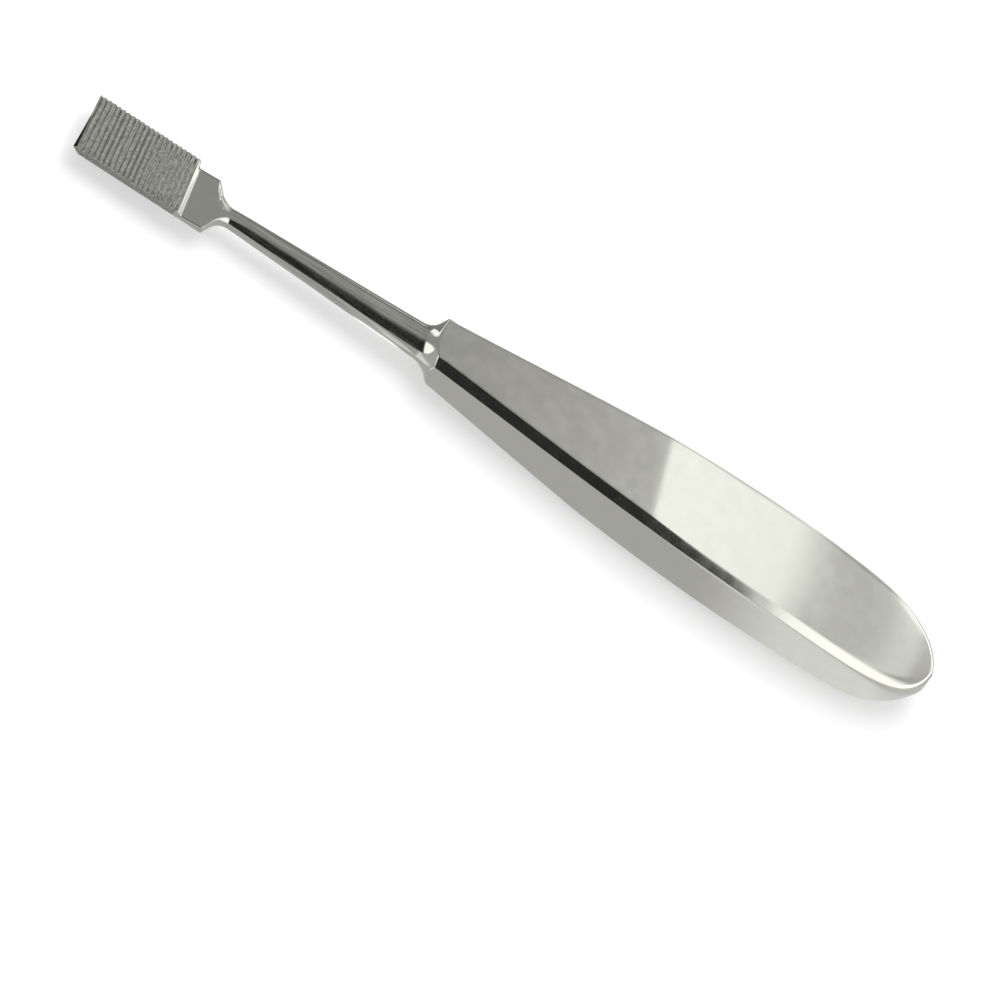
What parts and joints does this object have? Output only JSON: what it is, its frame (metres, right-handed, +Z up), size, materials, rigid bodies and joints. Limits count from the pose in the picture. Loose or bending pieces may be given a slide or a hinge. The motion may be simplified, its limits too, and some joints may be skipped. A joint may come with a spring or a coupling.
{
  "type": "band setter",
  "caption": "One-piece steel band setter: flattened palm handle, tapered round shank and a flat pad with cross grooves for pressing a dental band into place.",
  "frame": {"origin": "under the middle of the tool's length, on the surface that the handle lies on", "axes": "+X from the grooved pad to the handle's butt, +Y across the handle, +Z up out of the grooved face"},
  "size_m": [0.1594, 0.0166, 0.0114],
  "materials": {
    "steel": "satin"
  },
  "bodies": {
    "root": {"setter_body": "steel"}
  },
  "joints": []
}
